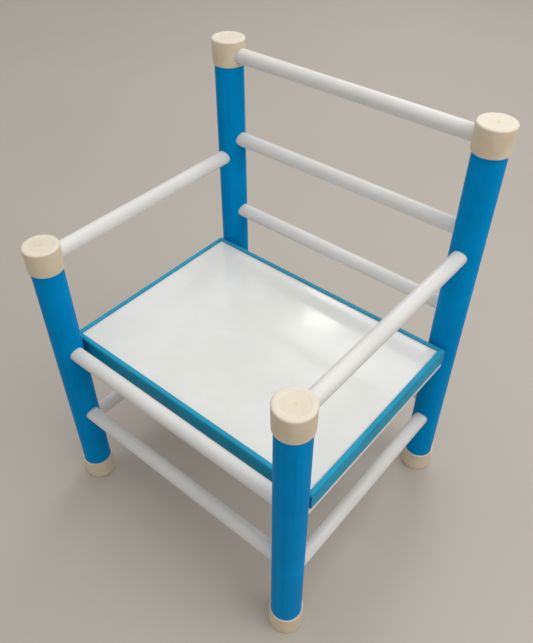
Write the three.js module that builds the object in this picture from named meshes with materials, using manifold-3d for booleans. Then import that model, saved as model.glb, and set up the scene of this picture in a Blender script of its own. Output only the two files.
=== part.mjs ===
import * as THREE from 'three';
import { mergeVertices } from 'three/addons/utils/BufferGeometryUtils.js';
import Module from 'manifold-3d';

// A small armchair: four capped posts, plain rails let into them, and an edged seat board.
// Millimetres. The origin is on the floor under the middle of the chair.
// +X is to the right of a person who faces the chair, +Y runs to its back and +Z is up.

const wasm = await Module();
wasm.setup();

// Overall layout
const postSpacingAcross = 477;
const postSpacingDeep = 423;
const frontHeight = 547;
const backHeight = 732;

// Posts
const postDiameter = 50;
const postWall = 2.4;

// Rails, and the heights of their axes above the floor
const railDiameter = 25;
const railWall = 1.8;
const frontSeatRailHeight = 334;
const frontStretcherHeight = 182;
const backStretcherHeight = 182;
const sideSeatRailHeight = 296;
const sideStretcherHeight = 149;
// How far below the top of a cap the axis of the rail lies that passes through it
const cappedRailDrop = 25;
// From the axis of each of the three back rails down to the next
const backRailSpacing = 150;

// Caps: a cup that slides over the end of a post
const capHeight = 42;
const capWall = 2.7;
const capFloor = 3;
const capTaper = 0.5;
const capEdgeRound = 3;
const capMouthBevel = 0.8;
const capDishRadius = 19;
const capDishSlope = 2;
const capDishDepth = 0.6;

// Seat board and the channel edging round it
const boardThickness = 25;
const edgingWall = 3;
const edgingReach = 9;
const edgingOuterRound = 3.5;
const edgingOverhang = 3.5;
const seatToPostGap = 1.4;

// Screws that hold the seat down on the side seat rails
const screwDiameter = 4.5;
const screwHeadDiameter = 9;
const screwHeadHeight = 3;
const screwPointLength = 5;
const screwBite = 16;
const screwSpacing = 220;

// Clearance between pieces that touch or slide into each other
const fitGap = 0.3;
// How far a cutting tool runs past what it cuts
const overrun = 4;

// Facets
const postSides = 32;
const railSides = 24;
const screwSides = 12;
const roundSteps = 4;

// Sizes worked out from the ones above
const postRadius = postDiameter / 2;
const postBore = postRadius - postWall;
const railRadius = railDiameter / 2;
const railHoleRadius = railRadius + fitGap;
const capBore = postRadius + fitGap;
const capMouthRadius = capBore + capWall;
const capRadius = capMouthRadius + capTaper;
const postInset = capFloor + fitGap;
// A rail runs on past the axis of its post until its rim meets the far wall of the pipe
const railReach = Math.sqrt(postBore ** 2 - railRadius ** 2) - fitGap;
const armHeight = frontHeight - cappedRailDrop;
const backTopRailHeight = backHeight - cappedRailDrop;
const backMiddleRailHeight = backTopRailHeight - backRailSpacing;
const backLowerRailHeight = backMiddleRailHeight - backRailSpacing;
const seatHalfAcross = postSpacingAcross / 2 + railRadius + edgingOverhang;
const seatHalfDeep = postSpacingDeep / 2 - postRadius - seatToPostGap;
const edgingHeight = boardThickness + 2 * (edgingWall + fitGap);
const seatUnderside = sideSeatRailHeight + railRadius + fitGap;
const boardUnderside = seatUnderside + edgingWall + fitGap;
const boardInset = edgingWall + fitGap;
const screwRadius = screwDiameter / 2;
const screwHoleRadius = screwRadius + fitGap;
const screwSeat = sideSeatRailHeight - railRadius - fitGap;
const screwLength = boardUnderside + screwBite - screwSeat;

// Finishes, each made afresh for the mesh that wears it
const finishes = {
  bluePipe: { color: 0x0078b4, roughness: 0.28, metalness: 0 },
  whitePipe: { color: 0xdfe1dd, roughness: 0.35, metalness: 0 },
  creamCap: { color: 0xe6d9bb, roughness: 0.45, metalness: 0 },
  seatFace: { color: 0xe9e9e5, roughness: 0.25, metalness: 0 },
  blueEdging: { color: 0x1f86ae, roughness: 0.32, metalness: 0 },
  zincScrew: { color: 0xb9bdc2, roughness: 0.4, metalness: 0.9 },
};

const armchair = new THREE.Group();
armchair.name = 'small_armchair';

// Adds one named piece to the chair and returns its mesh, ready to be placed
function addPiece(name, geometry, finish) {
  const mesh = new THREE.Mesh(geometry, new THREE.MeshStandardMaterial(finishes[finish]));
  mesh.name = name;
  armchair.add(mesh);
  return mesh;
}

// Turns a closed [radius, height] outline about the Z axis
function turned(outline, sides) {
  const points = outline.map(([radius, height]) => new THREE.Vector2(radius, height));
  return new THREE.LatheGeometry(points, sides).rotateX(Math.PI / 2);
}

// A pipe standing on its lower end, open at both ends
function pipe(outerRadius, innerRadius, bottom, top, sides) {
  const outline = [
    [innerRadius, bottom],
    [outerRadius, bottom],
    [outerRadius, top],
    [innerRadius, top],
    [innerRadius, bottom],
  ];
  return turned(outline, sides);
}

// The closed mesh of a geometry as a solid that can be cut
function toSolid(geometry) {
  const bare = geometry.clone();
  bare.deleteAttribute('normal');
  bare.deleteAttribute('uv');
  const merged = mergeVertices(bare);
  const corners = merged.index.array;
  const triangles = [];
  for (let i = 0; i < corners.length; i += 3) {
    const [a, b, c] = corners.slice(i, i + 3);
    if (a !== b && b !== c && c !== a) {
      triangles.push(a, b, c);
    }
  }
  const vertProperties = new Float32Array(merged.attributes.position.array);
  const triVerts = new Uint32Array(triangles);
  return new wasm.Manifold(new wasm.Mesh({ numProp: 3, vertProperties, triVerts }));
}

// The surface of a solid as a geometry
function toGeometry(solid) {
  const mesh = solid.getMesh();
  const geometry = new THREE.BufferGeometry();
  geometry.setAttribute('position', new THREE.BufferAttribute(mesh.vertProperties, 3));
  geometry.setIndex(new THREE.BufferAttribute(mesh.triVerts, 1));
  const faceted = geometry.toNonIndexed();
  faceted.computeVertexNormals();
  return faceted;
}

// Cuts a solid with each of several tools in turn
function cut(solid, tools) {
  return tools.reduce((rest, tool) => rest.subtract(toSolid(tool)), solid);
}

// A drill that starts on the axis of a post and leaves it towards one side, for the end of a rail.
// The direction is a unit step along X or Y.
function railDrill(directionX, directionY, height) {
  const length = capRadius + overrun;
  const drill = new THREE.CylinderGeometry(railHoleRadius, railHoleRadius, length, railSides);
  drill.translate(0, length / 2, 0);
  drill.rotateZ(-Math.PI / 2);
  drill.rotateZ(Math.atan2(directionY, directionX));
  drill.translate(0, 0, height);
  return drill;
}

// Rails: those that run across, in the front or the back frame, and those that run from front to back
const railsAcross = [
  { name: 'front_seat_rail', row: 'front', height: frontSeatRailHeight },
  { name: 'front_stretcher', row: 'front', height: frontStretcherHeight },
  { name: 'back_top_rail', row: 'back', height: backTopRailHeight },
  { name: 'back_middle_rail', row: 'back', height: backMiddleRailHeight },
  { name: 'back_lower_rail', row: 'back', height: backLowerRailHeight },
  { name: 'back_stretcher', row: 'back', height: backStretcherHeight },
];
const railsDeep = [
  { name: 'arm_rail', height: armHeight },
  { name: 'side_seat_rail', height: sideSeatRailHeight, screwed: true },
  { name: 'side_stretcher', height: sideStretcherHeight },
];
const sides = [
  { name: 'left', sign: -1 },
  { name: 'right', sign: 1 },
];
const rows = [
  { name: 'front', sign: -1, height: frontHeight },
  { name: 'back', sign: 1, height: backHeight },
];

function railPipe(spacing) {
  const half = spacing / 2 + railReach;
  return pipe(railRadius, railRadius - railWall, -half, half, railSides);
}

// The place of each screw along a side rail, from the middle of the rail
const screwRows = rows.map(({ name, sign }) => ({ name, place: (sign * screwSpacing) / 2 }));

// A straight round tool along Z, for a screw hole
function screwDrill(bottom, top) {
  const drill = new THREE.CylinderGeometry(screwHoleRadius, screwHoleRadius, top - bottom, screwSides);
  return drill.rotateX(Math.PI / 2).translate(0, 0, (bottom + top) / 2);
}

for (const { name, row, height } of railsAcross) {
  const { sign } = rows.find((each) => each.name === row);
  const rail = addPiece(name, railPipe(postSpacingAcross), 'whitePipe');
  rail.rotation.y = Math.PI / 2;
  rail.position.set(0, (sign * postSpacingDeep) / 2, height);
}

for (const { name: sideName, sign } of sides) {
  for (const { name, height, screwed } of railsDeep) {
    let geometry = railPipe(postSpacingDeep).rotateX(Math.PI / 2);
    if (screwed) {
      const reach = railRadius + overrun;
      const drills = screwRows.map(({ place }) => screwDrill(-reach, reach).translate(0, place, 0));
      geometry = toGeometry(cut(toSolid(geometry), drills));
    }
    const rail = addPiece(`${name}_${sideName}`, geometry, 'whitePipe');
    rail.position.set((sign * postSpacingAcross) / 2, 0, height);
  }
}

// Caps, drawn closed end up with the top of the cap at zero
function capOutline() {
  const roundCentre = capRadius - capEdgeRound;
  const outline = [
    [0, -capDishDepth],
    [capDishRadius, -capDishDepth],
    [capDishRadius + capDishSlope, 0],
  ];
  for (let step = 0; step <= roundSteps; step += 1) {
    const angle = (step / roundSteps) * (Math.PI / 2);
    const radius = roundCentre + capEdgeRound * Math.sin(angle);
    outline.push([radius, capEdgeRound * (Math.cos(angle) - 1)]);
  }
  outline.push(
    [capMouthRadius, capMouthBevel - capHeight],
    [capMouthRadius - capMouthBevel, -capHeight],
    [capBore, -capHeight],
    [capBore, -capFloor],
    [0, -capFloor],
  );
  return outline.reverse();
}

const cap = toSolid(turned(capOutline(), postSides));

// Posts and their caps. Each rail end has a hole in the wall that faces it and none in the far wall.
for (const { name: rowName, sign: rowSign, height: postHeight } of rows) {
  for (const { name: sideName, sign: sideSign } of sides) {
    const place = `${rowName}_${sideName}`;
    const x = (sideSign * postSpacingAcross) / 2;
    const y = (rowSign * postSpacingDeep) / 2;
    const across = railsAcross.filter(({ row }) => row === rowName);
    const drills = [
      ...across.map(({ height }) => ({ x: -sideSign, y: 0, height })),
      ...railsDeep.map(({ height }) => ({ x: 0, y: -rowSign, height })),
    ];

    const tube = toSolid(pipe(postRadius, postBore, postInset, postHeight - postInset, postSides));
    const postTools = drills.map((drill) => railDrill(drill.x, drill.y, drill.height));
    addPiece(`post_${place}`, toGeometry(cut(tube, postTools)), 'bluePipe').position.set(x, y, 0);

    const capped = drills.filter(({ height }) => height > postHeight - capHeight);
    const capTools = capped.map((drill) => railDrill(drill.x, drill.y, drill.height - postHeight));
    const topCap = addPiece(`cap_${place}`, toGeometry(cut(cap, capTools)), 'creamCap');
    topCap.position.set(x, y, postHeight);

    const foot = addPiece(`foot_${place}`, toGeometry(cap), 'creamCap');
    foot.rotation.x = Math.PI;
    foot.position.set(x, y, 0);
  }
}

// Seat board, with blind holes in its underside for the screws
const boardSize = [
  2 * (seatHalfAcross - boardInset),
  2 * (seatHalfDeep - boardInset),
  boardThickness,
];
const boardBlank = new THREE.BoxGeometry(...boardSize).translate(0, 0, boardThickness / 2);
const boardDrills = sides.flatMap(({ sign }) =>
  screwRows.map(({ place }) =>
    screwDrill(-overrun, screwBite + fitGap).translate((sign * postSpacingAcross) / 2, place, 0)
  )
);
const board = addPiece('seat_board', toGeometry(cut(toSolid(boardBlank), boardDrills)), 'seatFace');
board.position.z = boardUnderside;

// Section of the edging channel: x inwards from its outer face, y up from its underside
function edgingSection() {
  const lipRound = edgingWall / 2;
  const lipEnd = edgingReach - lipRound;
  const quarter = Math.PI / 2;
  const shape = new THREE.Shape();
  shape.moveTo(edgingOuterRound, 0);
  shape.lineTo(lipEnd, 0);
  shape.absarc(lipEnd, lipRound, lipRound, -quarter, quarter, false);
  shape.lineTo(edgingWall, edgingWall);
  shape.lineTo(edgingWall, edgingHeight - edgingWall);
  shape.lineTo(lipEnd, edgingHeight - edgingWall);
  shape.absarc(lipEnd, edgingHeight - lipRound, lipRound, -quarter, quarter, false);
  shape.lineTo(edgingOuterRound, edgingHeight);
  const upper = edgingHeight - edgingOuterRound;
  shape.absarc(edgingOuterRound, upper, edgingOuterRound, quarter, 2 * quarter, false);
  shape.lineTo(0, edgingOuterRound);
  shape.absarc(edgingOuterRound, edgingOuterRound, edgingOuterRound, 2 * quarter, 3 * quarter, false);
  return shape;
}

// A length of edging along X with its ends mitred, its outer face at y = 0 and the board towards +Y
function edgingStrip(length) {
  const settings = { depth: length, bevelEnabled: false, curveSegments: roundSteps };
  const strip = new THREE.ExtrudeGeometry(edgingSection(), settings);
  const corner = strip.attributes.position;
  for (let i = 0; i < corner.count; i += 1) {
    const mitre = corner.getX(i) + fitGap / Math.SQRT2;
    const atStart = corner.getZ(i) < length / 2;
    corner.setZ(i, atStart ? mitre : length - mitre);
  }
  strip.translate(0, 0, -length / 2);
  const turn = new THREE.Matrix4().makeBasis(
    new THREE.Vector3(0, 1, 0),
    new THREE.Vector3(0, 0, 1),
    new THREE.Vector3(1, 0, 0)
  );
  return strip.applyMatrix4(turn);
}

const edgings = [
  { name: 'front', length: 2 * seatHalfAcross, x: 0, y: -seatHalfDeep, turn: 0 },
  { name: 'right', length: 2 * seatHalfDeep, x: seatHalfAcross, y: 0, turn: Math.PI / 2 },
  { name: 'back', length: 2 * seatHalfAcross, x: 0, y: seatHalfDeep, turn: Math.PI },
  { name: 'left', length: 2 * seatHalfDeep, x: -seatHalfAcross, y: 0, turn: -Math.PI / 2 },
];
for (const { name, length, x, y, turn } of edgings) {
  const strip = addPiece(`seat_edging_${name}`, edgingStrip(length), 'blueEdging');
  strip.rotation.z = turn;
  strip.position.set(x, y, seatUnderside);
}

// Seat screws, heads down, with the underside of the head at zero
const screwHeadRadius = screwHeadDiameter / 2;
const screwOutline = [
  [0, -screwHeadHeight],
  [screwHeadRadius - screwHeadHeight / 2, -screwHeadHeight],
  [screwHeadRadius, -screwHeadHeight / 2],
  [screwHeadRadius, 0],
  [screwRadius, 0],
  [screwRadius, screwLength - screwPointLength],
  [0, screwLength],
];
for (const { name: sideName, sign } of sides) {
  for (const { name: rowName, place } of screwRows) {
    const blank = toSolid(turned(screwOutline, screwSides));
    const screw = addPiece(`seat_screw_${rowName}_${sideName}`, toGeometry(blank), 'zincScrew');
    screw.position.set((sign * postSpacingAcross) / 2, place, screwSeat);
  }
}

export default armchair;
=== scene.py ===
"""The looks of a small armchair: blue capped posts, white rails and an edged white seat.

Everything is in metres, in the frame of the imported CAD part: the origin is on the floor under the
middle of the chair, +X is to the right of a person who faces it, +Y runs to its back, +Z is up.
"""

import itertools
import math

import bmesh
import bpy
import numpy as np
from mathutils import Matrix, Vector


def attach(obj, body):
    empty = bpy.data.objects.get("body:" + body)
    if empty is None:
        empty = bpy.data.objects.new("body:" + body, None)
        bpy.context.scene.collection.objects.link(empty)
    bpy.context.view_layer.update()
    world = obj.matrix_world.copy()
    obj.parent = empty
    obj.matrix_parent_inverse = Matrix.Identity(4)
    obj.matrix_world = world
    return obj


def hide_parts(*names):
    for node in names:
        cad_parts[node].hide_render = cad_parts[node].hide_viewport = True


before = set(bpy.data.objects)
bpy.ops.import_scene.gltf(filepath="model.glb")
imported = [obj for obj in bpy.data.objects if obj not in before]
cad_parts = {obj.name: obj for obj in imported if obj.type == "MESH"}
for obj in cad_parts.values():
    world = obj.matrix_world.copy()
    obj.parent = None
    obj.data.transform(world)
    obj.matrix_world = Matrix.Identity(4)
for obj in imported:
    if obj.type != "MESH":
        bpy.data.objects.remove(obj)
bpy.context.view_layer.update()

MM = 0.001

# Posts, from the floor to the tops of their caps
POST_HALF_ACROSS = 238.5 * MM
POST_HALF_DEEP = 211.5 * MM
POST_HEIGHT = {"front": 547 * MM, "back": 732 * MM}
POST_RADIUS = 25 * MM
POST_BORE = 22.6 * MM
POST_INSET = 3.3 * MM
POST_RIM_ROUND = 0.4 * MM

# Rails, and the heights of their axes
RAIL_RADIUS = 12.5 * MM
RAIL_WALL = 1.8 * MM
RAIL_RIM_ROUND = 0.35 * MM
RAIL_REACH = 18.5 * MM
RAILS_ACROSS = {
    "front_seat_rail": ("front", 334 * MM),
    "front_stretcher": ("front", 182 * MM),
    "back_top_rail": ("back", 707 * MM),
    "back_middle_rail": ("back", 557 * MM),
    "back_lower_rail": ("back", 407 * MM),
    "back_stretcher": ("back", 182 * MM),
}
RAILS_DEEP = {
    "arm_rail": 522 * MM,
    "side_seat_rail": 296 * MM,
    "side_stretcher": 149 * MM,
}

# Holes that the rails go into, with the softened edge that the drill leaves
HOLE_RADIUS = 12.8 * MM
HOLE_EDGE = 0.45 * MM
HOLE_MARGIN = 3.1 * MM

# Caps, closed end up with its top at zero
CAP_RADIUS = 28.5 * MM
CAP_MOUTH_RADIUS = 27.7 * MM
CAP_BORE = 25.3 * MM
CAP_HEIGHT = 42 * MM
CAP_FLOOR = 3 * MM
CAP_EDGE_ROUND = 3 * MM
CAP_MOUTH_ROUND = 0.7 * MM
DISH_RADIUS = 21 * MM
DISH_FLOOR_RADIUS = 18.6 * MM
DISH_DEPTH = 0.5 * MM
DISH_ROUND = 6 * MM

# The mark of the mould's gate in the middle of a cap: a low pip in a shallow pit
PIP_TOP_RADIUS = 0.8 * MM
PIP_FOOT_RADIUS = 1.3 * MM
PIP_DEPTH = 0.55 * MM
PIT_FLOOR_RADIUS = 2.4 * MM
PIT_RADIUS = 3.2 * MM
PIT_DEPTH = 0.85 * MM

# Seat board and its edging
SEAT_HALF_ACROSS = 254.5 * MM
SEAT_HALF_DEEP = 185.1 * MM
SEAT_UNDERSIDE = 308.8 * MM
EDGING_HEIGHT = 31.6 * MM
EDGING_TOP = 340.4 * MM
EDGING_REACH = 9 * MM
EDGING_WALL = 3 * MM
EDGING_OUTER_ROUND = 3.5 * MM
EDGING_LIP_ROUND = 1.45 * MM
EDGING_INNER_ROUND = 0.3 * MM
MITRE_GAP = 0.2 * MM
BOARD_INSET = 3.3 * MM
BOARD_UNDERSIDE = 312.1 * MM
BOARD_THICKNESS = 25 * MM
BOARD_ARRIS = 0.5 * MM
BOARD_ARRIS_STEPS = 2

# Seat screws, head down
SCREW_SPACING = 220 * MM
SCREW_SEAT = 283.2 * MM
SCREW_RADIUS = 2.25 * MM
SCREW_ROOT_RADIUS = 1.75 * MM
SCREW_LENGTH = 44.9 * MM
SCREW_POINT = 5 * MM
SCREW_PITCH = 2 * MM
SCREW_HOLE_RADIUS = 2.55 * MM
SCREW_HEAD_RADIUS = 4.5 * MM
SCREW_HEAD_HEIGHT = 3 * MM
SCREW_HEAD_ROUND = 1.6 * MM
RECESS_WIDTH = 1.1 * MM
RECESS_LENGTH = 4.6 * MM
RECESS_DEPTH = 1.8 * MM
SCREW_TIP_RADIUS = 0.1 * MM
SCREW_HOLE_MARGIN = 2 * MM
SCREW_HOLE_EDGE = 0.2 * MM

# How finely round things are divided
POST_SIDES = 96
RAIL_SIDES = 64
RIM_STEPS = 2
HOLE_LEVELS = 10
SCREW_HOLE_LEVELS = 4
# How far in from its square border each ring of the wall round a hole lies, up to the hole
HOLE_RINGS = (0.4, 0.75, 1.0)
SOFT_STEPS = 4
EDGING_STEPS = 5
SCREW_HEAD_SIDES = 40
SCREW_HEAD_STEPS = 6
SCREW_SHANK_SIDES = 24
THREAD_STEPS = 16
THREAD_SIDES = 4
SHARP_ANGLE = math.radians(38)
LARGE_FACE_WEIGHT = 100

# Smaller than anything that is made
HAIR = 0.01 * MM
MERGE_DISTANCE = 0.005 * MM
LEVEL_SLACK = 1e-9

LEFT_RIGHT = {"left": -1, "right": 1}
FRONT_BACK = {"front": -1, "back": 1}

# How far the patterns are moved along from one piece to the next
PATTERN_STEP = (0.37, -0.53, 0.71)

# Two attributes say where a point lies on its own piece, with Z along a pipe or cap. The first is
# moved along from piece to piece, so that no two show the same stretch of a pattern. The second
# isn't: its X is the distance from the axis, and what follows the shape reads it
OWN_PLACE = "own_place"
OWN_SECTION = "own_section"

# Two more are read by the steps of a recipe
CORNER_ROUND = "corner_round"
SHARE_ALONG = "share_along"


# ---------------------------------------------------------------- node trees


class Number:
    """A number on its way through a node tree. Python's signs add the Math nodes that it needs."""

    def __init__(self, tree, socket):
        self.tree = tree
        self.socket = socket

    def maths(self, operation, first, second):
        sockets = {0: first, 1: second}
        return self.tree.add("ShaderNodeMath", {"operation": operation}, sockets)["Value"]

    def __add__(self, other):
        return self.maths("ADD", self, other)

    def __sub__(self, other):
        return self.maths("SUBTRACT", self, other)

    def __rsub__(self, other):
        return self.maths("SUBTRACT", other, self)

    def __mul__(self, other):
        return self.maths("MULTIPLY", self, other)

    def __truediv__(self, other):
        return self.maths("DIVIDE", self, other)

    def __rtruediv__(self, other):
        return self.maths("DIVIDE", other, self)

    __radd__ = __add__
    __rmul__ = __mul__


class Outputs:
    """The outputs of one node, by name or number, ready to be used in sums or as links."""

    def __init__(self, tree, node):
        self.tree = tree
        self.node = node

    def __getitem__(self, key):
        return Number(self.tree, pick(self.node.outputs, key))


def pick(sockets, key):
    """The socket with that number, or the one in use with that name."""
    if isinstance(key, int):
        return sockets[key]
    return next(socket for socket in sockets if socket.enabled and socket.name == key)


class Tree:
    """A node tree that is being built, for a finish or for a Geometry Nodes recipe."""

    def __init__(self, nodes):
        self.nodes = nodes

    def add(self, kind, settings=None, sockets=None):
        """A node of that type, with its settings made first and then its sockets set or linked."""
        node = self.nodes.nodes.new(kind)
        for name, value in (settings or {}).items():
            setattr(node, name, value)
        for key, value in (sockets or {}).items():
            socket = pick(node.inputs, key)
            if isinstance(value, Number):
                self.nodes.links.new(value.socket, socket)
            else:
                socket.default_value = value
        return Outputs(self, node)

    def noise(self, place, scale, detail=2.0, roughness=0.5):
        """Clouds from 0 to 1, with so many of them to a metre and finer ones laid over them."""
        sockets = {"Vector": place, "Scale": scale, "Detail": detail, "Roughness": roughness}
        return self.add("ShaderNodeTexNoise", {"noise_dimensions": "3D"}, sockets)["Fac"]

    def stretched(self, place, times):
        """The place multiplied along each axis, so that a pattern on it is drawn out."""
        return self.vector_maths("MULTIPLY", place, times)["Vector"]

    def rise(self, value, low, high):
        """0 where the value is under low, 1 where it is over high, and smooth in between."""
        settings = {"interpolation_type": "SMOOTHSTEP"}
        sockets = {"Value": value, "From Min": low, "From Max": high}
        return self.add("ShaderNodeMapRange", settings, sockets)["Result"]

    def mixed(self, amount, first, second):
        """A colour between two others: the first where the amount is 0."""
        sockets = {"Factor": amount, "A": first, "B": second}
        return self.add("ShaderNodeMix", {"data_type": "RGBA"}, sockets)["Result"]

    def vector_maths(self, operation, first, second):
        """A node that works on two vectors. Its result is its Vector, or its Value if a number."""
        return self.add("ShaderNodeVectorMath", {"operation": operation}, {0: first, 1: second})

    def split(self, vector):
        return self.add("ShaderNodeSeparateXYZ", {}, {0: vector})

    def attribute(self, name):
        return self.add("ShaderNodeAttribute", {"attribute_name": name})["Vector"]

    def object_place(self):
        return self.add("ShaderNodeTexCoord")["Object"]


# ---------------------------------------------------------------- finishes


def tint(red, green, blue):
    """A colour from its 0 to 255 screen values, as the linear light that a shader takes."""
    shares = [value / 255 for value in (red, green, blue)]
    return (*(s / 12.92 if s <= 0.04045 else ((s + 0.055) / 1.055) ** 2.4 for s in shares), 1.0)


def start_finish(name):
    """A material and its empty tree."""
    material = bpy.data.materials.new(name)
    material.use_nodes = True
    material.node_tree.nodes.clear()
    return material, Tree(material.node_tree)


def end_finish(tree, colour, roughness, relief, constants, strength, depth):
    """Joins colour, roughness and relief to the shader, and sets the finish's constants on it."""
    sockets = {"Height": relief, "Strength": strength, "Distance": depth}
    bumped = tree.add("ShaderNodeBump", {}, sockets)["Normal"]
    sockets = {"Base Color": colour, "Roughness": roughness, "Normal": bumped, **constants}
    shader = tree.add("ShaderNodeBsdfPrincipled", {}, sockets)
    tree.add("ShaderNodeOutputMaterial", {}, {"Surface": shader["BSDF"]})


def pipe_finish(name, deep, bright, worn, dust, gloss, constants):
    """A drawn plastic pipe: cloudy colour, fine lines along it, dull scuffs and a little dust."""
    material, tree = start_finish(name)
    place = tree.attribute(OWN_PLACE)
    drawn = tree.stretched(place, (1, 1, 0.02))
    lines = tree.noise(drawn, 620, 3.0, 0.6)
    broad_lines = tree.noise(drawn, 130, 2.0)
    clouds = tree.noise(place, 11, 3.0)
    grain = tree.noise(place, 1700, 1.0)
    rubbed = tree.rise(tree.noise(tree.stretched(place, (1, 1, 0.35)), 85, 5.0, 0.68), 0.6, 0.78)
    rubbed = rubbed * tree.rise(tree.noise(place, 9, 1.0), 0.42, 0.62)
    specks = tree.rise(tree.noise(place, 950, 0.0), 0.76, 0.8)

    tone = tree.rise(clouds * 0.55 + broad_lines * 0.3 + lines * 0.15, 0.3, 0.7)
    colour = tree.mixed(tone, deep, bright)
    colour = tree.mixed(rubbed * 0.3, colour, worn)
    colour = tree.mixed(specks * 0.35, colour, dust)
    roughness = gloss + lines * 0.08 + clouds * 0.08 + rubbed * 0.2 + specks * 0.2
    relief = lines * 0.5 + broad_lines * 0.8 + grain * 0.12 - rubbed * 0.1
    end_finish(tree, colour, roughness, relief, constants, strength=0.35, depth=0.12 * MM)
    return material


def cap_finish():
    """Moulded cream plastic: a slow change of tone, a fine grain, handling marks that are a little
    darker, small nicks, a painted highlight that makes the closed end paler, most towards its rim,
    a painted highlight on the rim at its mouth, and grime with painted shade in the gate's mark."""
    material, tree = start_finish("cream_cap")
    place = tree.attribute(OWN_PLACE)
    clouds = tree.noise(place, 38, 2.0)
    blotches = tree.noise(place, 150, 3.0, 0.6)
    grain = tree.noise(place, 1500, 2.0)
    handled = tree.rise(blotches, 0.55, 0.75)
    nicks = tree.rise(tree.noise(tree.stretched(place, (1, 0.4, 1)), 620, 2.0), 0.7, 0.76)
    section = tree.split(tree.attribute(OWN_SECTION))
    off_axis, height = section["X"], section["Z"]
    # Painted highlight: a paler band along the rim at the cap's mouth
    painted_mouth_highlight = tree.rise(0 - height, CAP_HEIGHT - 0.9 * MM, CAP_HEIGHT - 0.2 * MM)
    closed_end = tree.rise(height, -3.2 * MM, -0.8 * MM)
    # Painted highlight: the closed end is made paler, and more so towards its rim, for the light
    # that falls on its top
    rubbed = closed_end * (0.5 + 0.2 * tree.rise(off_axis, 13 * MM, DISH_RADIUS))
    # Grime and painted shade: the middle of the closed end, in and round the gate's pit, is made
    # darker
    grime_and_painted_shade = closed_end * (1 - tree.rise(off_axis, 1.8 * MM, 3.6 * MM))
    tone = tree.rise(clouds * 0.75 + blotches * 0.25, 0.34, 0.66)
    colour = tree.mixed(tone, tint(219, 200, 171), tint(226, 211, 186))
    # The painted highlight on the closed end
    colour = tree.mixed(rubbed, colour, tint(232, 224, 208))
    colour = tree.mixed(handled * 0.2, colour, tint(198, 174, 142))
    colour = tree.mixed(nicks * 0.3, colour, tint(180, 154, 118))
    colour = tree.mixed(grime_and_painted_shade * 0.22, colour, tint(192, 168, 128))
    colour = tree.mixed(painted_mouth_highlight * 0.6, colour, tint(240, 232, 214))
    roughness = 0.4 + clouds * 0.08 + grain * 0.08 + handled * 0.1
    relief = grain * 0.35 + blotches * 0.5 - nicks * 0.3
    constants = {"IOR": 1.5, "Subsurface Weight": 0.12, "Subsurface Scale": 2 * MM}
    end_finish(tree, colour, roughness, relief, constants, strength=0.3, depth=0.1 * MM)
    return material


def laminate_finish():
    """White laminate: an even white with slow changes of tone, faint wipe marks, a few fine
    scratches and a clear gloss."""
    material, tree = start_finish("white_laminate")
    place = tree.object_place()
    clouds = tree.noise(place, 4.5, 2.0)
    blotches = tree.noise(place, 22, 3.0, 0.55)
    wiped = tree.noise(tree.stretched(place, (0.25, 1.0, 1.0)), 60, 4.0, 0.6)
    grain = tree.noise(place, 1300, 1.0)
    sockets = {"Vector": place, "Rotation": (0, 0, math.radians(27))}
    slanted = tree.add("ShaderNodeMapping", {}, sockets)["Vector"]
    scratches = tree.noise(tree.stretched(slanted, (1, 0.012, 1)), 900, 1.0)
    scratches = tree.rise(scratches, 0.68, 0.74) * tree.rise(blotches, 0.5, 0.65)
    tone = tree.rise(clouds * 0.6 + blotches * 0.4, 0.35, 0.65)
    colour = tree.mixed(tone, tint(230, 230, 224), tint(237, 236, 234))
    colour = tree.mixed(scratches * 0.12, colour, tint(205, 206, 206))
    roughness = 0.09 + blotches * 0.02 + wiped * 0.03 + scratches * 0.12
    relief = grain * 0.05 + blotches * 0.12 - scratches * 0.02
    end_finish(tree, colour, roughness, relief, {"IOR": 1.5}, strength=0.12, depth=0.15 * MM)
    return material


def chipboard_finish():
    """Bare chipboard: flat chips of several browns pressed together."""
    material, tree = start_finish("chipboard")
    flat = tree.stretched(tree.object_place(), (1, 1, 2.4))
    chips = tree.add("ShaderNodeTexVoronoi", {"feature": "F1"}, {"Vector": flat, "Scale": 420.0})
    shade = tree.noise(chips["Position"], 37, 1.0)
    grain = tree.noise(flat, 1500, 3.0)
    colour = tree.mixed(tree.rise(shade, 0.3, 0.7), tint(150, 118, 80), tint(205, 178, 136))
    colour = tree.mixed(grain * 0.3, colour, tint(112, 84, 54))
    roughness = 0.72 + grain * 0.15
    relief = chips["Distance"] * 60.0 + grain * 0.4
    end_finish(tree, colour, roughness, relief, {}, strength=0.5, depth=0.3 * MM)
    return material


def edging_finish():
    """Extruded blue channel: lines along it, a satin skin, pale rubbed spots and a painted sheen
    that makes the tops of its lips paler."""
    material, tree = start_finish("blue_edging")
    place = tree.attribute(OWN_PLACE)
    drawn = tree.stretched(place, (0.015, 1, 1))
    lines = tree.noise(drawn, 800, 3.0, 0.6)
    clouds = tree.noise(place, 16, 3.0)
    rubbed = tree.rise(tree.noise(tree.stretched(place, (0.4, 1, 1)), 120, 5.0, 0.66), 0.6, 0.74)
    tone = tree.rise(clouds * 0.6 + lines * 0.4, 0.32, 0.68)
    height = tree.split(tree.object_place())["Z"]
    # Painted sheen: the tops of the lips are made paler, as the light that falls on them makes them
    # look
    painted_lip_sheen = tree.rise(height, EDGING_TOP - 1.4 * MM, EDGING_TOP - 0.2 * MM)
    colour = tree.mixed(tone, tint(10, 138, 174), tint(22, 155, 192))
    # The rubbed spots are wear; the paler lip tops are painted sheen
    colour = tree.mixed(rubbed * 0.25 + painted_lip_sheen * 0.2, colour, tint(104, 184, 206))
    roughness = 0.3 + lines * 0.1 + rubbed * 0.15
    relief = lines * 0.6 + clouds * 0.5
    constants = {"IOR": 1.5, "Specular IOR Level": 0.07, "Specular Tint": (0.4, 0.85, 1.0, 1)}
    end_finish(tree, colour, roughness, relief, constants, strength=0.3, depth=0.1 * MM)
    return material


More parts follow.
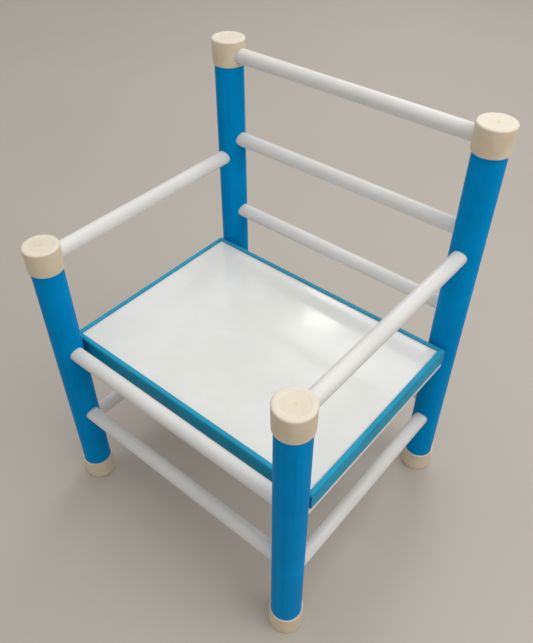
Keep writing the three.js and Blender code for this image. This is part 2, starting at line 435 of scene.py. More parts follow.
def zinc_finish():
    """Zinc plate: bluish grey metal with a soft mottled sheen and a warmer tarnish."""
    material, tree = start_finish("zinc")
    place = tree.object_place()
    spangle = tree.noise(place, 900, 3.0)
    fine = tree.noise(place, 4200, 2.0)
    tarnish = tree.rise(tree.noise(place, 330, 4.0, 0.6), 0.52, 0.68)
    colour = tree.mixed(spangle, tint(188, 192, 198), tint(212, 214, 218))
    colour = tree.mixed(tarnish * 0.4, colour, tint(190, 176, 142))
    roughness = 0.28 + spangle * 0.14 + tarnish * 0.14
    end_finish(tree, colour, roughness, fine, {"Metallic": 1.0}, strength=0.2, depth=0.05 * MM)
    return material


def floor_finish():
    """A plain pale floor with a barely seen change of tone."""
    material, tree = start_finish("pale_floor")
    place = tree.object_place()
    clouds = tree.noise(place, 1.6, 3.0)
    grain = tree.noise(place, 240, 2.0)
    colour = tree.mixed(clouds * 0.7 + grain * 0.3, tint(182, 173, 163), tint(192, 184, 174))
    roughness = 0.62 + grain * 0.15
    end_finish(tree, colour, roughness, grain, {}, strength=0.1, depth=0.2 * MM)
    return material


blue_pipe = pipe_finish(
    "blue_pipe",
    deep=tint(0, 132, 197),
    bright=tint(0, 149, 216),
    worn=tint(0, 154, 208),
    dust=tint(80, 165, 190),
    gloss=0.36,
    constants={"IOR": 1.5, "Specular IOR Level": 0.015, "Specular Tint": (0.1, 0.7, 1.0, 1)},
)
white_pipe = pipe_finish(
    "white_pipe",
    deep=tint(221, 219, 215),
    bright=tint(231, 229, 225),
    worn=tint(202, 198, 190),
    dust=tint(176, 166, 152),
    gloss=0.32,
    constants={"IOR": 1.5},
)
cream_cap = cap_finish()
white_laminate = laminate_finish()
chipboard = chipboard_finish()
blue_edging = edging_finish()
zinc = zinc_finish()


# ---------------------------------------------------------------- recipes for Geometry Nodes


def start_recipe(name, inputs):
    """An empty Geometry Nodes tree with named inputs, and the outputs of its input node."""
    group = bpy.data.node_groups.new(name, "GeometryNodeTree")
    group.interface.new_socket("Geometry", in_out="INPUT", socket_type="NodeSocketGeometry")
    for label, kind in inputs.items():
        group.interface.new_socket(label, in_out="INPUT", socket_type="NodeSocket" + kind)
    group.interface.new_socket("Geometry", in_out="OUTPUT", socket_type="NodeSocketGeometry")
    tree = Tree(group)
    return group, tree, tree.add("NodeGroupInput")


def end_recipe(tree, geometry, material):
    """Real geometry in its finish, as every recipe ends."""
    real = tree.add("GeometryNodeRealizeInstances", {}, {"Geometry": geometry})["Geometry"]
    worn = tree.add("GeometryNodeSetMaterial", {}, {"Geometry": real, "Material": material})
    tree.add("NodeGroupOutput", {}, {"Geometry": worn["Geometry"]})


def stored(tree, geometry, name, value, kind="FLOAT_VECTOR"):
    """Keeps a value at each point, under a name that a finish or a later step reads it by."""
    settings = {"data_type": kind, "domain": "POINT"}
    sockets = {"Geometry": geometry, "Name": name, "Value": value}
    return tree.add("GeometryNodeStoreNamedAttribute", settings, sockets)["Geometry"]


def read_back(tree, name):
    """The number that each point has under that name."""
    settings = {"data_type": "FLOAT"}
    return tree.add("GeometryNodeInputNamedAttribute", settings, {"Name": name})["Attribute"]


def rectangle(tree, width, height):
    settings = {"mode": "RECTANGLE"}
    sockets = {"Width": width, "Height": height}
    return tree.add("GeometryNodeCurvePrimitiveQuadrilateral", settings, sockets)["Curve"]


def circle(tree, sides, radius):
    sockets = {"Resolution": sides, "Radius": radius}
    return tree.add("GeometryNodeCurvePrimitiveCircle", {"mode": "RADIUS"}, sockets)["Curve"]


def filleted(tree, curve, steps, radius):
    sockets = {"Curve": curve, "Count": steps, "Radius": radius}
    return tree.add("GeometryNodeFilletCurve", {"mode": "POLY"}, sockets)["Curve"]


def swept(tree, path, section, capped=False):
    """A section swept along a path that keeps it upright, with its ends closed or open."""
    path = tree.add("GeometryNodeSetCurveNormal", {"mode": "Z_UP"}, {"Curve": path})["Curve"]
    sockets = {"Curve": path, "Profile Curve": section, "Fill Caps": capped}
    return tree.add("GeometryNodeCurveToMesh", {}, sockets)["Mesh"]


def lifted(tree, geometry, height):
    """The geometry moved straight up."""
    shift = tree.add("ShaderNodeCombineXYZ", {}, {"Z": height})["Vector"]
    sockets = {"Geometry": geometry, "Translation": shift}
    return tree.add("GeometryNodeTransform", {}, sockets)["Geometry"]


def rail_recipe():
    """A pipe from one point to another: the section of its wall, with softened rims, swept
    round."""
    group, tree, given = start_recipe(
        "rail",
        {
            "Start": "Vector",
            "End": "Vector",
            "Outer Radius": "Float",
            "Wall": "Float",
            "Rim Round": "Float",
            "Sides": "Int",
            "Pattern Shift": "Vector",
            "Finish": "Material",
        },
    )
    along = tree.vector_maths("SUBTRACT", given["End"], given["Start"])["Vector"]
    length = tree.add("ShaderNodeVectorMath", {"operation": "LENGTH"}, {0: along})["Value"]
    section = rectangle(tree, given["Wall"], length)
    section = filleted(tree, section, RIM_STEPS, given["Rim Round"])
    ring = circle(tree, given["Sides"], given["Outer Radius"] - given["Wall"] * 0.5)
    pipe = swept(tree, ring, section)
    position = tree.add("GeometryNodeInputPosition")["Position"]
    own = tree.vector_maths("ADD", position, given["Pattern Shift"])["Vector"]
    pipe = stored(tree, pipe, OWN_PLACE, own)

    # It is made upright round the origin, then laid from start to end
    lie = tree.add("FunctionNodeAlignRotationToVector", {"axis": "Z"}, {"Vector": along})
    ends = tree.vector_maths("ADD", given["Start"], given["End"])["Vector"]
    sockets = {
        "Geometry": pipe,
        "Translation": tree.stretched(ends, (0.5, 0.5, 0.5)),
        "Rotation": lie["Rotation"],
    }
    pipe = tree.add("GeometryNodeTransform", {}, sockets)["Geometry"]
    end_recipe(tree, pipe, given["Finish"])
    return group


def edging_recipe():
    """A length of channel: the section that it is given, with its corners rounded, swept from one
    corner of the seat to the next, and its ends sheared to the mitre."""
    group, tree, given = start_recipe(
        "mitred_edging",
        {
            "Start": "Vector",
            "End": "Vector",
            "Inwards": "Vector",
            "Mitre Gap": "Float",
            "Pattern Shift": "Vector",
            "Finish": "Material",
        },
    )
    section = tree.add("GeometryNodeMeshToCurve", {}, {0: given["Geometry"]})["Curve"]
    section = filleted(tree, section, EDGING_STEPS, read_back(tree, CORNER_ROUND))
    sockets = {"Start": given["Start"], "End": given["End"]}
    path = tree.add("GeometryNodeCurvePrimitiveLine", {"mode": "POINTS"}, sockets)["Curve"]
    share = tree.add("GeometryNodeSplineParameter")["Factor"]
    path = stored(tree, path, SHARE_ALONG, share, "FLOAT")
    strip = swept(tree, path, section, capped=True)

    # Where a point lies from the start is worked out anew at each use, before and after the shear
    position = tree.add("GeometryNodeInputPosition")["Position"]
    from_start = tree.vector_maths("SUBTRACT", position, given["Start"])["Vector"]
    depth = tree.vector_maths("DOT_PRODUCT", from_start, given["Inwards"])["Value"]
    along = tree.vector_maths("SUBTRACT", given["End"], given["Start"])["Vector"]
    along = tree.add("ShaderNodeVectorMath", {"operation": "NORMALIZE"}, {0: along})["Vector"]
    push = (depth + given["Mitre Gap"]) * (1 - read_back(tree, SHARE_ALONG) * 2)
    sheared = tree.add("ShaderNodeVectorMath", {"operation": "SCALE"}, {0: along, "Scale": push})
    sockets = {"Geometry": strip, "Offset": sheared["Vector"]}
    strip = tree.add("GeometryNodeSetPosition", {}, sockets)["Geometry"]

    # Along the strip, inwards and up are the X, Y and Z of its own place
    sockets = {
        "X": tree.vector_maths("DOT_PRODUCT", from_start, along)["Value"],
        "Y": depth,
        "Z": tree.split(from_start)["Z"],
    }
    own = tree.add("ShaderNodeCombineXYZ", {}, sockets)["Vector"]
    own = tree.vector_maths("ADD", own, given["Pattern Shift"])["Vector"]
    end_recipe(tree, stored(tree, strip, OWN_PLACE, own), given["Finish"])
    return group


# The measures that the screws are made from, by the names of their recipe's inputs
SCREW_MEASURES = {
    "Head Radius": SCREW_HEAD_RADIUS,
    "Head Height": SCREW_HEAD_HEIGHT,
    "Head Round": SCREW_HEAD_ROUND,
    "Recess Width": RECESS_WIDTH,
    "Recess Length": RECESS_LENGTH,
    "Recess Depth": RECESS_DEPTH,
    "Root Radius": SCREW_ROOT_RADIUS,
    "Thread Radius": SCREW_RADIUS,
    "Thread Pitch": SCREW_PITCH,
    "Length": SCREW_LENGTH,
    "Point Length": SCREW_POINT,
}


def screw_recipe():
    """A pan head screw with a crossed recess and a thread, set head down on each given point."""
    inputs = {**dict.fromkeys(SCREW_MEASURES, "Float"), "Finish": "Material"}
    group, tree, given = start_recipe("seat_screws", inputs)

    # Head: half its section, rounded at its outer lower corner, turned about the axis. The sweep
    # lays the section's X outwards and its Y downwards
    head_radius, head_height = given["Head Radius"], given["Head Height"]
    corner = tree.split(tree.add("GeometryNodeInputPosition")["Position"])
    outer = tree.rise(corner["X"], 0, HAIR)
    lower = tree.rise(corner["Y"], 0, HAIR)
    half = rectangle(tree, head_radius, head_height)
    half = filleted(tree, half, SCREW_HEAD_STEPS, outer * lower * given["Head Round"])
    head = swept(tree, circle(tree, SCREW_HEAD_SIDES, head_radius * 0.5), half)
    sockets = {"Geometry": head, "Distance": MERGE_DISTANCE}
    head = tree.add("GeometryNodeMergeByDistance", {}, sockets)["Geometry"]
    head = lifted(tree, head, head_height * -0.5)

    # Recess: two crossed bars cut up into the head
    width, length, depth = given["Recess Width"], given["Recess Length"], given["Recess Depth"]
    for size_x, size_y in ((width, length), (length, width)):
        size = tree.add("ShaderNodeCombineXYZ", {}, {"X": size_x, "Y": size_y, "Z": depth * 2})
        bar = tree.add("GeometryNodeMeshCube", {}, {"Size": size["Vector"]})["Mesh"]
        settings = {"operation": "DIFFERENCE", "solver": "EXACT"}
        sockets = {"Mesh 1": head, "Mesh 2": lifted(tree, bar, head_height * -1.0)}
        head = tree.add("GeometryNodeMeshBoolean", settings, sockets)["Mesh"]

    # Shank: a plain core with a pointed end, and a thread wound round it
    root_radius = given["Root Radius"]
    shank_length = given["Length"] - given["Point Length"]
    sockets = {"Vertices": SCREW_SHANK_SIDES, "Radius": root_radius, "Depth": shank_length}
    shank = tree.add("GeometryNodeMeshCylinder", {}, sockets)["Mesh"]
    shank = lifted(tree, shank, shank_length * 0.5)
    sockets = {
        "Vertices": SCREW_SHANK_SIDES,
        "Radius Top": SCREW_TIP_RADIUS,
        "Radius Bottom": root_radius,
        "Depth": given["Point Length"],
    }
    point = tree.add("GeometryNodeMeshCone", {}, sockets)["Mesh"]
    point = lifted(tree, point, shank_length)
    sockets = {
        "Resolution": THREAD_STEPS,
        "Rotations": shank_length / given["Thread Pitch"],
        "Start Radius": root_radius,
        "End Radius": root_radius,
        "Height": shank_length,
    }
    helix = tree.add("GeometryNodeCurveSpiral", {}, sockets)["Curve"]
    ridge = circle(tree, THREAD_SIDES, given["Thread Radius"] - root_radius)
    thread = swept(tree, helix, ridge, capped=True)

    whole = tree.add("GeometryNodeJoinGeometry")
    for piece in (head, shank, point, thread):
        tree.nodes.links.new(piece.socket, whole.node.inputs["Geometry"])
    sockets = {"Points": given["Geometry"], "Instance": whole["Geometry"]}
    screws = tree.add("GeometryNodeInstanceOnPoints", {}, sockets)["Instances"]
    end_recipe(tree, screws, given["Finish"])
    return group


def evaluated_mesh(holder, name):
    """The plain mesh of an object with its modifiers worked out. The object is removed."""
    evaluated = holder.evaluated_get(bpy.context.evaluated_depsgraph_get())
    mesh = bpy.data.meshes.new_from_object(evaluated)
    bpy.data.objects.remove(holder)
    mesh.name = name
    return mesh


def grown(name, recipe, base, values):
    """The plain mesh that a recipe makes from a base mesh, with its named inputs set."""
    holder = bpy.data.objects.new(name, base)
    bpy.context.scene.collection.objects.link(holder)
    modifier = holder.modifiers.new(recipe.name, "NODES")
    modifier.node_group = recipe
    for item in recipe.interface.items_tree:
        if item.in_out == "INPUT" and item.name in values:
            modifier[item.identifier] = values[item.name]
    return evaluated_mesh(holder, name)


# ---------------------------------------------------------------- turned and drilled shells


class Shell:
    """The points and faces of a turned piece while it is put together."""

    def __init__(self):
        self.points = []
        self.faces = []

    def ring(self, points):
        """Adds a row of points and returns their numbers."""
        first = len(self.points)
        self.points.extend(points)
        return list(range(first, len(self.points)))

    def bridge(self, lower, upper, skip=()):
        """Joins two closed rows by four-sided faces, or a row to the one point of a pole."""
        count = max(len(lower), len(upper))
        for i in range(count):
            if i in skip:
                continue
            j = (i + 1) % count
            corners = [lower[i % len(lower)], lower[j % len(lower)]]
            corners += [upper[j % len(upper)], upper[i % len(upper)]]
            self.faces.append(list(dict.fromkeys(corners)))


def patch_heights(drill, margin):
    """The lowest and highest point of the patch of wall that is divided anew round a hole."""
    low = drill["height"] - drill["radius"] - margin
    high = drill["height"] + drill["radius"] + margin
    return low, high


def with_levels(outline, drills, margin, levels):
    """The outline with extra points at the heights of each hole, wherever a wall passes them."""
    made = []
    for (r0, z0), (r1, z1) in zip(outline, outline[1:]):
        made.append((r0, z0))
        heights = set()
        for drill in drills:
            low, high = patch_heights(drill, margin)
            if min(z0, z1) <= low and high <= max(z0, z1):
                heights.update(low + (high - low) * i / levels for i in range(levels + 1))
        for z in sorted(heights, reverse=z1 < z0):
            made.append((r0 + (r1 - r0) * (z - z0) / (z1 - z0), z))
    made.append(outline[-1])
    return made


def drilled_shell(
    name, outline, sides, drills=(), margin=HOLE_MARGIN, levels=HOLE_LEVELS, edge=HOLE_EDGE
):
    """A piece turned about Z from an outline of (radius, height) points, with round holes through
    its wall. Each drill is {"turn": quarter turns from +X, "height", "radius"}. Round each hole,
    out to the margin, the wall is divided in so many levels and in rings, so that its shading
    stays smooth up to the softened edge."""
    outline = with_levels(outline, drills, margin, levels)
    shell = Shell()
    angles = np.arange(sides) * 2 * math.pi / sides
    rows = []
    closed_outline = outline[0] == outline[-1]
    for radius, height in outline[:-1] if closed_outline else outline:
        if radius == 0:
            rows.append(shell.ring([(0, 0, height)]))
        else:
            circle_points = [(radius * math.cos(a), radius * math.sin(a), height) for a in angles]
            rows.append(shell.ring(circle_points))
    if closed_outline:
        rows.append(rows[0])

    # Round each hole a quarter of the wall is left open, outside and in the bore, and filled with
    # rings that run from its border in to the hole and through it
    gaps = {}
    for drill in drills:
        low, high = patch_heights(drill, margin)
        first = (drill["turn"] * sides // 4 - sides // 8) % sides
        columns = [(first + i) % sides for i in range(sides // 4 + 1)]
        walls = []
        run = []
        for k, (radius, height) in enumerate(outline):
            in_patch = low - LEVEL_SLACK <= height <= high + LEVEL_SLACK
            if in_patch and radius > drill["radius"]:
                run.append(k)
            if len(run) == levels + 1:
                walls.append(run)
                for k_low in run[:-1]:
                    gaps.setdefault(k_low, set()).update(columns[:-1])
                run = []
            elif run and run[-1] != k:
                run = []
        walls.sort(key=lambda run: -outline[run[0]][0])
        loops = []
        for run, is_outer in zip(walls, (True, False)):
            by_height = sorted(run, key=lambda k: outline[k][1])
            border = [rows[by_height[0]][c] for c in columns]
            border += [rows[k][columns[-1]] for k in by_height[1:]]
            border += [rows[by_height[-1]][c] for c in reversed(columns[:-1])]
            border += [rows[k][columns[0]] for k in reversed(by_height[1:-1])]
            wall = [outline[k] for k in by_height]
            loops.append(hole_rings(shell, drill, border, wall, edge if is_outer else 0))
        outer, inner = loops
        through = outer + inner[::-1]
        for one, other in zip(through, through[1:]):
            shell.bridge(one, other)

    for k, (lower, upper) in enumerate(zip(rows, rows[1:])):
        shell.bridge(lower, upper, skip=gaps.get(k, ()))
    return shell_mesh(name, shell)


def hole_rings(shell, drill, border, wall, edge):
    """The rings of points from the border of a patch of wall in to the hole, and over its edge."""
    turn = drill["turn"] * math.pi / 2
    forward = np.array([math.cos(turn), math.sin(turn)])
    sideways = np.array([-forward[1], forward[0]])
    corners = np.array([shell.points[i] for i in border])
    across = corners[:, :2] @ sideways
    heights = corners[:, 2]
    bearing = np.arctan2(heights - drill["height"], across)
    (low_radius, low), (high_radius, high) = wall[0], wall[-1]

    def on_wall(u, z, depth):
        """Points so far sideways and so high, sunk that deep into the wall."""
        radius = low_radius + (high_radius - low_radius) * (z - low) / (high - low)
        reach = np.sqrt(radius**2 - u**2) - depth
        flat = np.outer(reach, forward) + np.outer(u, sideways)
        return [tuple(p) for p in np.column_stack([flat, z])]

    rings = [border]
    rim = drill["radius"] + edge
    rim_across = rim * np.cos(bearing)
    rim_height = drill["height"] + rim * np.sin(bearing)
    for share in HOLE_RINGS:
        u = across + (rim_across - across) * share
        z = heights + (rim_height - heights) * share
        rings.append(shell.ring(on_wall(u, z, 0)))
    if edge:
        for step in range(1, SOFT_STEPS + 1):
            angle = step / SOFT_STEPS * math.pi / 2
            radius = rim - edge * math.sin(angle)
            u = radius * np.cos(bearing)
            z = drill["height"] + radius * np.sin(bearing)
            rings.append(shell.ring(on_wall(u, z, edge * (1 - math.cos(angle)))))
    return rings


def shell_mesh(name, shell):
    """A mesh from a closed shell, with all its faces turned outwards."""
    mesh = bpy.data.meshes.new(name)
    mesh.from_pydata(shell.points, [], shell.faces)
    body = bmesh.new()
    body.from_mesh(mesh)
    bmesh.ops.recalc_face_normals(body, faces=body.faces)
    body.to_mesh(mesh)
    body.free()
    return mesh


def keep_place(mesh, shift):
    """Writes each point's place on its own piece, moved along so that no two pieces look alike,
    and its place in the section that was turned."""
    points = np.zeros(len(mesh.vertices) * 3, np.float32)
    mesh.vertices.foreach_get("co", points)
    own = points.reshape(-1, 3) + np.array(shift, np.float32)
    mesh.attributes.new(OWN_PLACE, "FLOAT_VECTOR", "POINT").data.foreach_set("vector", own.ravel())
    x, y, z = points.reshape(-1, 3).T
    section = np.column_stack([np.hypot(x, y), np.zeros_like(x), z]).ravel()
    mesh.attributes.new(OWN_SECTION, "FLOAT_VECTOR", "POINT").data.foreach_set("vector", section)


def softened(corner, before, after, radius, steps=SOFT_STEPS):
    """The points that round one corner of an outline between its two neighbours."""
    corner, before, after = (np.array(p, float) for p in (corner, before, after))
    to_before = (before - corner) / np.linalg.norm(before - corner)
    to_after = (after - corner) / np.linalg.norm(after - corner)
    half = math.acos(float(to_before @ to_after)) / 2
    inwards = (to_before + to_after) / np.linalg.norm(to_before + to_after)
    centre = corner + inwards * radius / math.sin(half)
    start = corner + to_before * radius / math.tan(half) - centre
    end = corner + to_after * radius / math.tan(half) - centre
    swing = math.atan2(start[0] * end[1] - start[1] * end[0], float(start @ end))
    made = []
    for step in range(steps + 1):
        angle = swing * step / steps
        turned = (
            start[0] * math.cos(angle) - start[1] * math.sin(angle),
            start[0] * math.sin(angle) + start[1] * math.cos(angle),
        )
        made.append((float(centre[0] + turned[0]), float(centre[1] + turned[1])))
    return made


def rounded_outline(corners):
    """An open outline of (radius, height, round) corners, with all but its two ends rounded."""
    points = [(radius, height) for radius, height, _ in corners]
    made = [points[0]]
    for i in range(1, len(corners) - 1):
        made += softened(points[i], points[i - 1], points[i + 1], corners[i][2])
    return made + [points[-1]]


def pipe_outline(outer, inner, bottom, top, rim_round):
    """The section of a pipe's wall as a closed outline, with its rims softened."""
    corners = [(outer, bottom), (outer, top), (inner, top), (inner, bottom)]
    made = []
    for i, corner in enumerate(corners):
        after = corners[(i + 1) % len(corners)]
        made += softened(corner, corners[i - 1], after, rim_round, RIM_STEPS)
    return made + [made[0]]


def cap_outline():
    """The section of a cap, from the middle of its closed end, down its wall and up its bore.
    The closed end is dished inside a flat ring, with the mark of the mould's gate in its middle."""
    return rounded_outline(
        [
            (0, -PIP_DEPTH, 0),
            (PIP_TOP_RADIUS, -PIP_DEPTH, 0.3 * MM),
            (PIP_FOOT_RADIUS, -PIT_DEPTH, 0.3 * MM),
            (PIT_FLOOR_RADIUS, -PIT_DEPTH, 0.4 * MM),
            (PIT_RADIUS, -DISH_DEPTH, 0.6 * MM),
            (DISH_FLOOR_RADIUS, -DISH_DEPTH, DISH_ROUND),
            (DISH_RADIUS, 0, DISH_ROUND),
            (CAP_RADIUS, 0, CAP_EDGE_ROUND),
            (CAP_MOUTH_RADIUS, -CAP_HEIGHT, CAP_MOUTH_ROUND),
            (CAP_BORE, -CAP_HEIGHT, 0.3 * MM),
            (CAP_BORE, -CAP_FLOOR, 0.4 * MM),
            (0, -CAP_FLOOR, 0),
        ]
    )


# ---------------------------------------------------------------- pieces


def smoothed(mesh):
    """Smooth shading that keeps sharp edges sharp and lets large flat faces stay flat."""
    mesh.shade_smooth()
    mesh.set_sharp_from_angle(angle=SHARP_ANGLE)
    holder = bpy.data.objects.new(mesh.name, mesh)
    bpy.context.scene.collection.objects.link(holder)
    modifier = holder.modifiers.new("flat faces", "WEIGHTED_NORMAL")
    modifier.keep_sharp = True
    modifier.weight = LARGE_FACE_WEIGHT
    return evaluated_mesh(holder, mesh.name)


def placed(name, mesh, material, nodes, matrix=None):
    """Makes a piece of a mesh, moved by the matrix and put in the material where they are given.
    The piece rides on the chair and stands for its CAD nodes."""
    if matrix is not None:
        mesh.transform(matrix)
    if material is not None:
        mesh.materials.clear()
        mesh.materials.append(material)
    piece = bpy.data.objects.new(name, smoothed(mesh))
    bpy.context.scene.collection.objects.link(piece)
    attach(piece, "root")
    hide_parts(*nodes)


def pattern_shift(number):
    """A different stretch of the pattern for each piece."""
    return tuple(step * number for step in PATTERN_STEP)


# The number of the next piece, and an empty mesh for a recipe that needs none
numbers = itertools.count(1)
bare = bpy.data.meshes.new("bare")

# Plain rails
rail = rail_recipe()


def lay_rail(name, start, end):
    """A plain rail from one point to another."""
    values = {
        "Start": start,
        "End": end,
        "Outer Radius": RAIL_RADIUS,
        "Wall": RAIL_WALL,
        "Rim Round": RAIL_RIM_ROUND,
        "Sides": RAIL_SIDES,
        "Pattern Shift": pattern_shift(next(numbers)),
        "Finish": white_pipe,
    }
    placed("white_" + name, grown(name, rail, bare, values), None, [name])


half_across = POST_HALF_ACROSS + RAIL_REACH
half_deep = POST_HALF_DEEP + RAIL_REACH
for rail_name, (row, height) in RAILS_ACROSS.items():
    y = FRONT_BACK[row] * POST_HALF_DEEP
    lay_rail(rail_name, (-half_across, y, height), (half_across, y, height))
for side, sign in LEFT_RIGHT.items():
    x = sign * POST_HALF_ACROSS
    for rail_name in ("arm_rail", "side_stretcher"):
        height = RAILS_DEEP[rail_name]
        lay_rail(f"{rail_name}_{side}", (x, -half_deep, height), (x, half_deep, height))

    # The rail under the side of the seat is drilled for the seat screws
    drills = [
        {"turn": turn, "height": end * SCREW_SPACING / 2, "radius": SCREW_HOLE_RADIUS}
        for turn in (1, 3)
        for end in (-1, 1)
    ]
    rail_name = f"side_seat_rail_{side}"
    bore = RAIL_RADIUS - RAIL_WALL
    outline = pipe_outline(RAIL_RADIUS, bore, -half_deep, half_deep, RAIL_RIM_ROUND)
    hole = (SCREW_HOLE_MARGIN, SCREW_HOLE_LEVELS, SCREW_HOLE_EDGE)
    mesh = drilled_shell(rail_name, outline, RAIL_SIDES, drills, *hole)
    keep_place(mesh, pattern_shift(next(numbers)))
    # Its own Z turns to lie along Y, and the drilled sides come to top and bottom
    lift = Matrix.Translation((x, 0, RAILS_DEEP["side_seat_rail"]))
    lie = lift @ Matrix.Rotation(math.pi / 2, 4, "X")
    placed("white_" + rail_name, mesh, white_pipe, [rail_name], lie)

# Posts and caps
for row, row_sign in FRONT_BACK.items():
    for side, side_sign in LEFT_RIGHT.items():
        corner = f"{row}_{side}"
        top = POST_HEIGHT[row]
        stand = Matrix.Translation((side_sign * POST_HALF_ACROSS, row_sign * POST_HALF_DEEP, 0))
        across_turn = 2 if side == "right" else 0
        deep_turn = 3 if row == "back" else 1
        drills = [
            {"turn": across_turn, "height": height, "radius": HOLE_RADIUS}
            for rail_row, height in RAILS_ACROSS.values()
            if rail_row == row
        ]
        drills += [
            {"turn": deep_turn, "height": height, "radius": HOLE_RADIUS}
            for height in RAILS_DEEP.values()
        ]

        outline = pipe_outline(POST_RADIUS, POST_BORE, POST_INSET, top - POST_INSET, POST_RIM_ROUND)
        mesh = drilled_shell(f"post_{corner}", outline, POST_SIDES, drills)
        keep_place(mesh, pattern_shift(next(numbers)))
        placed(f"blue_post_{corner}", mesh, blue_pipe, [f"post_{corner}"], stand)

        capped = [
            {**drill, "height": drill["height"] - top}
            for drill in drills
            if drill["height"] > top - CAP_HEIGHT
        ]
        mesh = drilled_shell(f"cap_{corner}", cap_outline(), POST_SIDES, capped)
        keep_place(mesh, pattern_shift(next(numbers)))
        lift = stand @ Matrix.Translation((0, 0, top))
        placed(f"cream_cap_{corner}", mesh, cream_cap, [f"cap_{corner}"], lift)

        mesh = drilled_shell(f"foot_{corner}", cap_outline(), POST_SIDES)
        keep_place(mesh, pattern_shift(next(numbers)))
        over = stand @ Matrix.Rotation(math.pi, 4, "X")
        placed(f"cream_foot_{corner}", mesh, cream_cap, [f"foot_{corner}"], over)

# Seat board: laminate on both faces, chipboard at its edges
board_size = (
    2 * (SEAT_HALF_ACROSS - BOARD_INSET),
    2 * (SEAT_HALF_DEEP - BOARD_INSET),
    BOARD_THICKNESS,
)
body = bmesh.new()
bmesh.ops.create_cube(body, size=1, matrix=Matrix.Diagonal((*board_size, 1)))
bmesh.ops.bevel(
    body,
    geom=list(body.edges),
    offset=BOARD_ARRIS,
    offset_type="OFFSET",
    segments=BOARD_ARRIS_STEPS,
    profile=0.5,
    affect="EDGES",
)
board_finishes = [white_laminate, chipboard]
for face in body.faces:
    finish = white_laminate if abs(face.normal.z) > 0.5 else chipboard
    face.material_index = board_finishes.index(finish)
board = bpy.data.meshes.new("seat_board")
body.to_mesh(board)
body.free()
for finish in board_finishes:
    board.materials.append(finish)
rest = Matrix.Translation((0, 0, BOARD_UNDERSIDE + BOARD_THICKNESS / 2))
placed("white_seat_board", board, None, ["seat_board"], rest)

# Edging: the corners of its section, inwards and up, with the radius of each
EDGING_CORNERS = [
    ((0, 0), EDGING_OUTER_ROUND),
    ((0, EDGING_HEIGHT), EDGING_OUTER_ROUND),
    ((EDGING_REACH, EDGING_HEIGHT), EDGING_LIP_ROUND),
    ((EDGING_REACH, EDGING_HEIGHT - EDGING_WALL), EDGING_LIP_ROUND),
    ((EDGING_WALL, EDGING_HEIGHT - EDGING_WALL), EDGING_INNER_ROUND),
    ((EDGING_WALL, EDGING_WALL), EDGING_INNER_ROUND),
    ((EDGING_REACH, EDGING_WALL), EDGING_LIP_ROUND),
    ((EDGING_REACH, 0), EDGING_LIP_ROUND),
]
# The sweep lays the section's X inwards and its Y downwards
points = [(x, -y, 0) for (x, y), _ in EDGING_CORNERS]
section = bpy.data.meshes.new("edging_section")
section.from_pydata(points, [(i, (i + 1) % len(points)) for i in range(len(points))], [])
rounds = section.attributes.new(CORNER_ROUND, "FLOAT", "POINT")
rounds.data.foreach_set("value", [corner_round for _, corner_round in EDGING_CORNERS])

edging = edging_recipe()
across, deep = SEAT_HALF_ACROSS, SEAT_HALF_DEEP
edges = {
    "front": ((across, -deep), (-across, -deep), (0, 1, 0)),
    "right": ((across, deep), (across, -deep), (-1, 0, 0)),
    "back": ((-across, deep), (across, deep), (0, -1, 0)),
    "left": ((-across, -deep), (-across, deep), (1, 0, 0)),
}
for edge_name, (start, end, inwards) in edges.items():
    values = {
        "Start": (*start, SEAT_UNDERSIDE),
        "End": (*end, SEAT_UNDERSIDE),
        "Inwards": inwards,
        "Mitre Gap": MITRE_GAP,
        "Pattern Shift": pattern_shift(next(numbers)),
        "Finish": blue_edging,
    }
    name = f"seat_edging_{edge_name}"
    placed("blue_" + name, grown(name, edging, section, values), None, [name])

# Seat screws, up through the side seat rails
points = [
    (side * POST_HALF_ACROSS, end * SCREW_SPACING / 2, SCREW_SEAT)
    for side in (-1, 1)
    for end in (-1, 1)
]
seats = bpy.data.meshes.new("screw_seats")
seats.from_pydata(points, [], [])
screws = grown("seat_screws", screw_recipe(), seats, {**SCREW_MEASURES, "Finish": zinc})
screw_nodes = [f"seat_screw_{row}_{side}" for row in FRONT_BACK for side in LEFT_RIGHT]
placed("zinc_seat_screws", screws, None, screw_nodes)


# ---------------------------------------------------------------- studio

FLOOR_HALF = 12.0
MIDDLE = Vector((0, 0, 0.35))
PANEL_COLOUR = (1.0, 1.0, 0.99)
LAMP_COLOUR = (1.0, 0.99, 0.96)
WORLD_COLOUR = (1.0, 1.0, 1.0, 1)
WORLD_STRENGTH = 0.48
CAMERA_PLACE = (0.53838, -0.62117, 1.13578)
CAMERA_TURN_DEGREES = (47.604, 0.0, 39.850)
CAMERA_LENS = 37.865
CAMERA_NEAR, CAMERA_FAR = 0.05, 60

corners = [(x * FLOOR_HALF, y * FLOOR_HALF, 0) for x, y in ((-1, -1), (1, -1), (1, 1), (-1, 1))]
floor_mesh = bpy.data.meshes.new("floor")
floor_mesh.from_pydata(corners, [], [(0, 1, 2, 3)])
floor_mesh.materials.append(floor_finish())
floor = bpy.data.objects.new("floor", floor_mesh)
bpy.context.scene.collection.objects.link(floor)


def seen_from_middle(bearing, height, distance):
    """The point at that bearing from +X and that height, in degrees, from the chair's middle."""
    raised = Matrix.Rotation(math.radians(-height), 3, "Y")
    turned = Matrix.Rotation(math.radians(bearing), 3, "Z")
    return MIDDLE + turned @ raised @ Vector((distance, 0, 0))


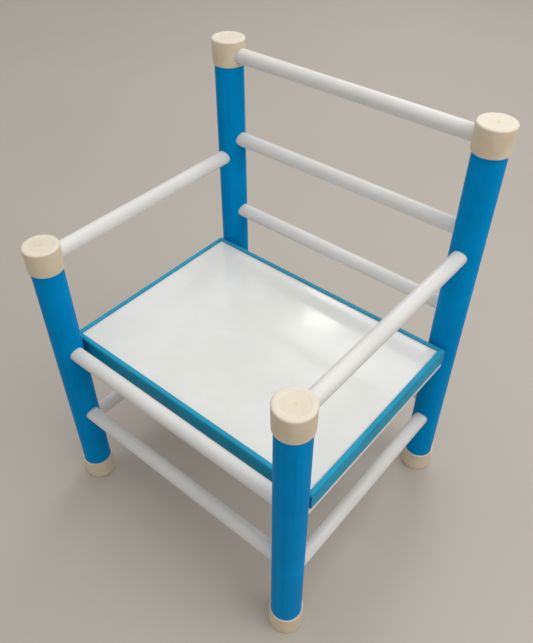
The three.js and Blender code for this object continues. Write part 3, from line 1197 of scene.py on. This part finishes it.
def area_light(name, place, aim, width, height, power, colour):
    """A soft panel of light that faces a point. It is seen in what mirrors it and nowhere else."""
    lamp = bpy.data.lights.new(name, "AREA")
    lamp.shape = "RECTANGLE"
    lamp.size, lamp.size_y = width, height
    lamp.energy = power
    lamp.color = colour
    panel = bpy.data.objects.new(name, lamp)
    panel.visible_camera = False
    panel.location = place
    panel.rotation_euler = (Vector(place) - Vector(aim)).to_track_quat("Z", "Y").to_euler()
    bpy.context.scene.collection.objects.link(panel)


# Each panel's bearing, height and distance as seen from the middle, its two sides and its power
for name, bearing, height, distance, width, tall, power in (
    ("right_panel", 6, 41, 2.4, 1.71, 1.49, 15.7),
    ("top_panel", 60, 85, 4.2, 3.5, 3.5, 68),
    ("low_back_panel", 111, 37, 4.2, 1.5, 0.5, 11),
    ("high_back_panel", 114, 44.5, 4.2, 1.5, 0.5, 4),
    ("far_back_panel", 109, 25, 4.2, 1.4, 0.9, 7),
    ("left_back_panel", 129, 34.5, 4.2, 1.9, 0.55, 1.6),
):
    place = seen_from_middle(bearing, height, distance)
    area_light(name, place, MIDDLE, width, tall, power, PANEL_COLOUR)
# A small lamp, where the seat mirrors it beside the lower back rail
place, aim = (-1.175, 1.97, 2.337), (0.05, 0.112, 0.337)
area_light("lamp", place, aim, width=0.24, height=0.04, power=0.55, colour=LAMP_COLOUR)

world = bpy.data.worlds.new("studio")
world.use_nodes = True
backdrop = world.node_tree.nodes["Background"]
backdrop.inputs["Color"].default_value = WORLD_COLOUR
backdrop.inputs["Strength"].default_value = WORLD_STRENGTH
bpy.context.scene.world = world
bpy.context.scene.view_settings.view_transform = "Standard"

# Camera, at the photograph's view
camera_data = bpy.data.cameras.new("camera")
camera_data.lens = CAMERA_LENS
camera_data.clip_start, camera_data.clip_end = CAMERA_NEAR, CAMERA_FAR
camera = bpy.data.objects.new("camera", camera_data)
camera.location = CAMERA_PLACE
camera.rotation_euler = [math.radians(angle) for angle in CAMERA_TURN_DEGREES]
bpy.context.scene.collection.objects.link(camera)
bpy.context.scene.camera = camera
